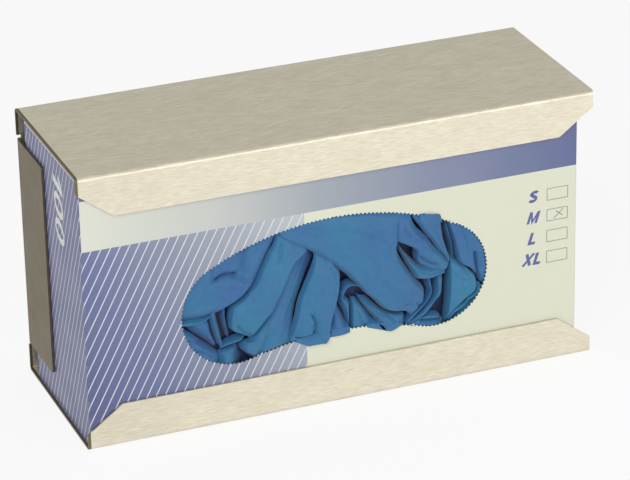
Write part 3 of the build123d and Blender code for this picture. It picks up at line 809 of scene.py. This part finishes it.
UPPER_RIGHT = [
    dict(tint=.6, rows=(
        ((53.4, 32), (60, 35), ((0, -5.6), (.12, -3.4), (.5, -3), (.85, -3), (1, -4))),
        ((55.6, 24), (70, 30), ((0, -5.8), (.12, -1.4), (.5, -.8), (.85, -1.4), (1, -3))),
        ((57.9, 15.5), (77, 20), ((0, -5.8), (.1, -.5), (.5, -.2), (.85, -1.2), (1, -3))),
        ((59.1, 10), (80, 12), ((0, -5.6), (.1, -.1), (.5, .1), (.85, -1.2), (1, -3))),
        ((61.2, 3.2), (81, 4), ((0, -5), (.1, .3), (.5, .1), (.85, -1.2), (1, -3))),
        ((66.2, -.2), (81, -3), ((0, -4.6), (.12, .1), (.5, -.4), (.85, -1.2), (1, -3))),
        ((70.2, -4.4), (80, -9), ((0, -4.4), (.15, -.5), (.5, -.8), (.85, -1.4), (1, -3))),
        ((71.6, -8), (78.5, -14), ((0, -5), (.2, -2.4), (.5, -2.4), (.85, -2.6), (1, -4))),
    ), creases=(
        (3.0, .7, ((69.4, 7), (70.6, -1.3), (71.6, -7))),
        (.9, 1.3, ((61.4, 24), (65, 13), (66.4, 4))),
        (-.5, 1.4, ((64.6, 25), (69, 14), (70, 9))),
        (.6, .9, ((73.6, 12), (74.6, 0))),
    ), fine=(88, 104)),
    dict(tint=.5, rows=(
        ((53.8, 28), (56, 28), ((0, -6.8), (.5, -3), (1, -6.6))),
        ((54.6, 20.5), (57.5, 19.2), ((0, -6.8), (.5, -.9), (1, -6.4))),
        ((56.3, 14.5), (58.8, 12.4), ((0, -6.8), (.5, -.3), (1, -6))),
        ((56.8, 9.6), (59.8, 6.2), ((0, -6.8), (.5, -.9), (1, -6))),
        ((58.4, 5.6), (61.4, 2.6), ((0, -6.8), (.5, -3), (1, -6))),
    ), fine=(32, 56)),
]

LOWER_RIGHT = [
    dict(tint=.05, rows=(
        ((56.8, 9), (60, 4.6), ((0, -6.6), (.12, -4.8), (.5, -4.6), (.85, -4.8), (1, -6))),
        ((56.2, 3.5), (66.4, -.8), ((0, -6.2), (.12, -.9), (.5, -.5), (.85, -1.4), (1, -5))),
        ((55.9, -3), (71, -6.4), ((0, -6.2), (.1, .2), (.5, .7), (.85, -.2), (1, -4.6))),
        ((55.7, -10), (71, -12.2), ((0, -6.2), (.1, .5), (.5, .9), (.85, .1), (1, -3.6))),
        ((55.5, -16), (65, -15.6), ((0, -6.2), (.12, .2), (.5, .6), (.85, .1), (1, -3.6))),
        ((55.2, -21), (59.2, -20.2), ((0, -6), (.2, -.6), (.5, -.4), (.85, -.8), (1, -4))),
        ((54.6, -27), (56.5, -25.5), ((0, -6), (.2, -3.4), (.5, -3.2), (.85, -3.4), (1, -5.4))),
    ), creases=((.6, 1.8, ((64, -3), (62, -12))), (.7, .8, ((58, 0), (60, -4), (66, -7)))), fine=(72, 90)),
    dict(tint=.2, rows=(
        ((70.4, -8.6), (73.6, -9.6), ((0, -4.6), (.45, -1.0), (1, -5))),
        ((69.6, -12.6), (72.4, -14), ((0, -4.6), (.45, .3), (1, -4.8))),
        ((65.2, -14.6), (67, -17.4), ((0, -4.6), (.45, .5), (1, -4.8))),
        ((62.8, -17.4), (64.8, -20.2), ((0, -4.6), (.45, .3), (1, -4.8))),
        ((57.8, -19.4), (60, -22.8), ((0, -4.6), (.45, 0), (1, -4.8))),
        ((55.2, -24), (57.6, -26.4), ((0, -5), (.45, -1.8), (1, -5))),
    ), crinkle=.6, fine=(36, 96)),
    dict(tint=0, rows=(
        ((72, -10), (80, -12), ((0, -5), (.25, -2.4), (.7, -2.2), (1, -4))),
        ((69.4, -14), (77.6, -20), ((0, -5), (.25, -1.6), (.7, -2), (1, -4))),
        ((64, -19.4), (71.5, -27), ((0, -5), (.25, -1.6), (.7, -2), (1, -4))),
        ((58, -24), (63.5, -31.5), ((0, -5), (.25, -1.8), (.7, -2.2), (1, -4))),
        ((55, -27.6), (58, -33), ((0, -5), (.25, -3.4), (.7, -3.4), (1, -5))),
    ), crinkle=.4, fine=(40, 64)),
]

# A film deep behind the other folds; its depth paints it almost wholly in the dark painted shade colour.
INNER = [dict(tint=.9, rows=(
    ((-79, 36), (79, 36), ((0, -8), (.25, -7.6), (.5, -8), (.75, -7.6), (1, -8))),
    ((-79, 0), (79, 0), ((0, -8), (.3, -7.6), (.5, -8), (.7, -7.6), (1, -8))),
    ((-79, -31), (79, -31), ((0, -8), (.25, -7.6), (.5, -8), (.75, -7.6), (1, -8))),
), crinkle=.3, fine=(96, 48))]

# Each piece of film: its name, the glove it stands for, its folds, and its width and length laid flat.
GLOVES = (
    ("large_glove", "glove_large", LARGE, (58, 52)),
    ("flap_glove", "glove_flap", FLAP, (44, 32)),
    ("finger_glove", "glove_fingers", FINGERS, (66, 50)),
    ("upper_left_glove", "glove_upper_left", UPPER_LEFT, (44, 36)),
    ("lower_left_glove", "glove_lower_left", LOWER_LEFT, (40, 36)),
    ("lower_middle_glove", "glove_lower_middle", LOWER_MIDDLE, (36, 34)),
    ("narrow_fold_glove", "glove_narrow_folds", NARROW_FOLDS, (32, 31)),
    ("upper_right_glove", "glove_upper_right", UPPER_RIGHT, (38, 33)),
    ("lower_right_glove", "glove_lower_right", LOWER_RIGHT, (36, 33)),
    ("inner_glove", None, INNER, (158, 68)),
)
for settings in GLOVES:
    glove(*settings)

# ---------------------------------------------------------------- printing and torn edge

PRINT_PROUD = 0.05 * MM
PRINT_STEP = 0.01 * MM
MITRE_LEAST = 0.4
TICK_LEFT = 102.7
TICK_WIDTH = 10.5
TICK_HEIGHT = 5.8
TICK_LINE = 0.28
TICK_TOPS = {"S": 20.9, "M": 10.3, "L": -0.3, "XL": -10.9}
TICK_LAYERS = 4
# The pen cross, from its box's lower left corner, as (path, width).
PEN_CROSS = (([(3.4, 0.8), (5.9, 3), (8.4, 5.2)], 0.36), ([(4.6, 4.5), (8.0, 1.8)], 0.42))
LETTER_HEIGHT = 5.9
LETTER_WIDTH = 1.06
LETTER_SLANT = 0.32
LETTER_STROKE = 0.24
LETTER_MIDDLE = 95.1
LETTER_RAISE = 0.1
COUNT_Y = (-65.4, -51.8)
COUNT_Z = (22.0, 57.0)
COUNT_SPREAD = 0.82
COUNT_SLANT = 0.1
TOOTH_PITCH = 2.0
TOOTH_LENGTH = 0.9
TOOTH_LEAST = 0.8
TOOTH_VARIES = 0.4
TOOTH_ROOT = 0.1
TOOTH_PROUD = 0.02
EDGE_STEPS = 2000
EDGE_REACH = 90.0
EDGE_HALVINGS = 30

blue_ink = plain("blue_ink", linear(88, 92, 148))
grey_ink = plain("grey_ink", linear(120, 124, 130))
white_ink = plain("white_ink", linear(218, 220, 214))


def printed(name, mesh, ink):
    """A flat printed mark on the carton."""
    mark = bpy.data.objects.new(name, mesh)
    bpy.context.scene.collection.objects.link(mark)
    dress(mark, ink)
    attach(mark, "root")


def stroke(bm, path, width, place):
    """A flat strip along a bent line, with mitred bends. place turns (across, up) into a spot in the room."""
    sides = []
    for index, spot in enumerate(path):
        here = Vector(spot)
        ways = []
        if index:
            ways.append((here - Vector(path[index - 1])).normalized())
        if index < len(path) - 1:
            ways.append((Vector(path[index + 1]) - here).normalized())
        way = sum(ways, Vector((0, 0))).normalized()
        square = Vector((-way.y, way.x))
        reach = width / 2 / max(MITRE_LEAST, square.dot(Vector((-ways[0].y, ways[0].x))))
        sides.append([bm.verts.new(place(*(here + square * offset))) for offset in (-reach, reach)])
    for (a, b), (c, d) in zip(sides, sides[1:]):
        bm.faces.new((a, c, d, b))


def arc(x, y, wide, high, start, end, steps=10):
    """Points on part of an ellipse, its angles in degrees."""
    turns = [math.radians(start + (end - start) * step / steps) for step in range(steps + 1)]
    return [(x + wide * math.cos(turn), y + high * math.sin(turn)) for turn in turns]


# The letters in a box one unit tall: (advance, strokes as (path, weight)).
GLYPHS = {
    "S": (0.72, [(arc(.33, .7, .24, .19, 30, 180) + arc(.33, .3, .24, .19, 110, -155)[1:], 1.0)]),
    "M": (0.9, [([(.1, 0), (.1, 1)], .85), ([(.14, .95), (.42, .12), (.7, .95)], .7),
                ([(.74, 1), (.74, 0)], .85)]),
    "L": (0.7, [([(.1, 1), (.1, .1), (.56, .1)], 1.0)]),
    "X": (0.86, [([(.02, 0), (.68, 1)], .9), ([(.08, 1), (.6, 0)], .95)]),
}


def size_letters():
    """The size letters beside their tick boxes, bold and slanted."""
    for word, top in TICK_TOPS.items():
        bm = bmesh.new()
        wide = sum(GLYPHS[letter][0] for letter in word) * LETTER_HEIGHT * LETTER_WIDTH
        left = LETTER_MIDDLE - wide / 2
        base = top - TICK_HEIGHT + LETTER_RAISE
        layer = 0
        for letter in word:
            advance, strokes = GLYPHS[letter]
            for path, weight in strokes:
                layer += 1

                def place(u, v, depth=PRINT_PROUD + layer * PRINT_STEP, start=left):
                    across = start + (u * LETTER_WIDTH + v * LETTER_SLANT) * LETTER_HEIGHT
                    return (across * MM, CARD_FACE - depth, (base + v * LETTER_HEIGHT) * MM)

                stroke(bm, path, LETTER_STROKE * weight, place)
            left += advance * LETTER_HEIGHT * LETTER_WIDTH
        finish_print(bm, f"size_letter_{word.lower()}", blue_ink)


def glove_count():
    """The number of gloves on the left end, reading downwards."""
    bm = bmesh.new()
    height, length = COUNT_Y[1] - COUNT_Y[0], COUNT_Z[1] - COUNT_Z[0]
    strokes = [(0.0, [(.04, .56), (.1, .78), (.2, .94)], .1), (0.0, [(.2, 0), (.2, 1)], .125)]
    strokes += [(start, arc(.2, .5, .145, .42, 0, 360, 24), .11) for start in (.277, .643)]
    for layer, (start, path, width) in enumerate(strokes):

        def place(u, v, depth=PRINT_PROUD + layer * PRINT_STEP, start=start):
            along = (start + u * COUNT_SPREAD + (v - .5) * COUNT_SLANT) * length
            return (carton_low.x - depth, (COUNT_Y[1] - v * height) * MM, (COUNT_Z[1] - along) * MM)

        stroke(bm, path, width, place)
    finish_print(bm, "glove_count", white_ink)


def finish_print(bm, name, ink):
    """Turn a flat mark's faces away from the carton and place it as a piece."""
    for face in bm.faces:
        face.normal_update()
        if face.normal.x + face.normal.y > 0:
            face.normal_flip()
    mesh = bpy.data.meshes.new(name)
    bm.to_mesh(mesh)
    bm.free()
    printed(name, mesh, ink)


def tick_boxes():
    """Four tick boxes, with a pen cross in the one for M."""
    bm = bmesh.new()
    right = TICK_LEFT + TICK_WIDTH
    crossed = TICK_TOPS["M"] - TICK_HEIGHT
    lines = [([(TICK_LEFT + x, crossed + z) for x, z in path], width) for path, width in PEN_CROSS]
    for top in TICK_TOPS.values():
        low = top - TICK_HEIGHT
        corners = [(TICK_LEFT, low), (right, low), (right, top), (TICK_LEFT, top)]
        lines += [([start, end], TICK_LINE) for start, end in zip(corners, corners[1:] + corners[:1])]
    for layer, (path, width) in enumerate(lines):

        def place(x, z, depth=PRINT_PROUD + (layer % TICK_LAYERS) * PRINT_STEP):
            return (x * MM, CARD_FACE - depth, z * MM)

        stroke(bm, path, width, place)
    finish_print(bm, "tick_boxes", grey_ink)


def opening_path():
    """Points round the opening's edge, evenly spaced: a tooth's foot and its tip in turn."""
    ring = []
    for step in range(EDGE_STEPS):
        angle = 2 * math.pi * step / EDGE_STEPS
        reach_low, reach_high = 0.0, EDGE_REACH
        for _ in range(EDGE_HALVINGS):
            middle = (reach_low + reach_high) / 2
            if beyond_opening(middle * math.cos(angle), middle * math.sin(angle)) < 0:
                reach_low = middle
            else:
                reach_high = middle
        ring.append(Vector((reach_low * math.cos(angle), reach_low * math.sin(angle))))
    length = sum((there - here).length for here, there in zip(ring, ring[1:] + ring[:1]))
    wanted = 2 * round(length / TOOTH_PITCH)
    points, travelled, next_at = [], 0.0, 0.0
    for here, there in zip(ring, ring[1:] + ring[:1]):
        part = (there - here).length
        while next_at <= travelled + part and len(points) < wanted:
            points.append(here.lerp(there, (next_at - travelled) / part))
            next_at += length / wanted
        travelled += part
    return points


def torn_edge():
    """The small card teeth that the torn perforation leaves round the opening."""
    bm = bmesh.new()
    points = opening_path()
    count = len(points)
    for index in range(0, count, 2):
        foot, tip, next_foot = points[index], points[(index + 1) % count], points[(index + 2) % count]
        way = (next_foot - foot).normalized()
        inwards = Vector((-way.y, way.x))
        reach = TOOTH_LENGTH * (TOOTH_LEAST + TOOTH_VARIES * noise.noise(Vector((index * 1.3, 0, 0))))
        corners = (foot - inwards * TOOTH_ROOT, next_foot - inwards * TOOTH_ROOT, tip + inwards * reach)
        rings = []
        for out in (TOOTH_PROUD, -CARD + TOOTH_PROUD):
            rings.append([bm.verts.new((OPENING_X + c.x * MM, CARD_FACE - out * MM, OPENING_Z + c.y * MM))
                          for c in corners])
        bm.faces.new(rings[0])
        bm.faces.new(rings[1][::-1])
        for a in range(3):
            b = (a + 1) % 3
            bm.faces.new((rings[0][a], rings[1][a], rings[1][b], rings[0][b]))
    bmesh.ops.recalc_face_normals(bm, faces=bm.faces)
    mesh = bpy.data.meshes.new("torn_edge")
    bm.to_mesh(mesh)
    bm.free()
    printed("torn_edge", mesh, card_finish)


size_letters()
glove_count()
tick_boxes()
torn_edge()

dress(nodes["holder"], steel_finish)
dress(nodes["carton"], card_finish)
dress(nodes["glove_stack"], film_finish)


# ---------------------------------------------------------------- camera, floor and light

def add_camera():
    """The camera, aimed at the holder's middle and set slightly aside from it."""
    azimuth, elevation, roll = (math.radians(a) for a in (CAMERA_AZIMUTH, CAMERA_ELEVATION, CAMERA_ROLL))
    forward = Vector((math.sin(azimuth) * math.cos(elevation), math.cos(azimuth) * math.cos(elevation),
                      -math.sin(elevation)))
    right = Vector((math.cos(azimuth), -math.sin(azimuth), 0))
    up = right.cross(forward)
    rolled_right = right * math.cos(roll) + up * math.sin(roll)
    rolled_up = up * math.cos(roll) - right * math.sin(roll)
    centre = (holder_low + holder_high) / 2
    place = centre - forward * CAMERA_DISTANCE - rolled_right * CAMERA_ASIDE[0] - rolled_up * CAMERA_ASIDE[1]
    data = bpy.data.cameras.new("camera")
    data.sensor_width = SENSOR
    data.lens = LENS
    data.clip_start, data.clip_end = CLIP_NEAR, CLIP_FAR
    camera = bpy.data.objects.new("camera", data)
    bpy.context.scene.collection.objects.link(camera)
    turn = Matrix((rolled_right, rolled_up, -forward)).transposed()
    camera.matrix_world = Matrix.Translation(place) @ turn.to_4x4()
    bpy.context.scene.camera = camera


def seen_rays(tree):
    """1 for rays to the camera, in a shiny surface or through glass, and 0 for those that light things."""
    rays = tree.nodes.new("ShaderNodeLightPath")
    seen = rays.outputs["Is Camera Ray"]
    for other in ("Is Glossy Ray", "Is Transmission Ray"):
        add = tree.nodes.new("ShaderNodeMath")
        add.operation = "ADD"
        add.use_clamp = True
        tree.links.new(seen, add.inputs[0])
        tree.links.new(rays.outputs[other], add.inputs[1])
        seen = add.outputs[0]
    return seen


def add_floor():
    """A pale floor that is seen nearly white, and keeps part of the object's shadow."""
    bm = bmesh.new()
    bmesh.ops.create_grid(bm, x_segments=1, y_segments=1, size=FLOOR_SIZE)
    bmesh.ops.translate(bm, verts=bm.verts, vec=(0, 0, holder_low.z))
    mesh = bpy.data.meshes.new("floor")
    bm.to_mesh(mesh)
    bm.free()
    floor = bpy.data.objects.new("floor", mesh)
    bpy.context.scene.collection.objects.link(floor)
    pale = Nodes("pale_floor")
    pale.set(Base_Color=(FLOOR_TONE, FLOOR_TONE, FLOOR_TONE, 1.0), Roughness=FLOOR_ROUGHNESS)
    tree = pale.material.node_tree
    glow = tree.nodes.new("ShaderNodeEmission")
    glow.inputs["Color"].default_value = (1.0, 1.0, 1.0, 1.0)
    glow.inputs["Strength"].default_value = 1.0
    both = tree.nodes.new("ShaderNodeMixShader")
    share = pale.math("MULTIPLY", seen_rays(tree), FLOOR_SEEN)
    tree.links.new(share, both.inputs[0])
    tree.links.new(pale.shader.outputs[0], both.inputs[1])
    tree.links.new(glow.outputs[0], both.inputs[2])
    out = next(node for node in tree.nodes if node.type == "OUTPUT_MATERIAL")
    tree.links.new(both.outputs[0], out.inputs["Surface"])
    dress(floor, pale.material)


def add_lamp(name, place, target, size, power):
    """A white panel lamp at place that faces target."""
    data = bpy.data.lights.new(name, "AREA")
    data.shape = "RECTANGLE"
    data.size, data.size_y = size
    data.energy = power
    lamp = bpy.data.objects.new(name, data)
    bpy.context.scene.collection.objects.link(lamp)
    lamp.location = place
    lamp.rotation_euler = (Vector(target) - Vector(place)).to_track_quat("-Z", "Y").to_euler()


def add_world():
    """The pale room: one strength where it is seen, and a softer one as a light."""
    world = bpy.data.worlds.new("pale_room")
    bpy.context.scene.world = world
    world.use_nodes = True
    tree = world.node_tree
    background = tree.nodes["Background"]
    background.inputs["Color"].default_value = (1.0, 1.0, 1.0, 1.0)
    strength = tree.nodes.new("ShaderNodeMapRange")
    strength.inputs["To Min"].default_value = WORLD_LIGHT
    strength.inputs["To Max"].default_value = WORLD_SEEN
    tree.links.new(seen_rays(tree), strength.inputs["Value"])
    tree.links.new(strength.outputs[0], background.inputs["Strength"])


add_camera()
add_floor()
add_world()
add_lamp("key", (-0.8, -1.15, 1.05), (0, -0.05, 0), (0.9, 0.9), 10.5)
add_lamp("front", (0.45, -1.3, 0.2), (0, -0.05, 0), (1.1, 0.45), 4.6)

bpy.context.scene.view_settings.view_transform = "Standard"
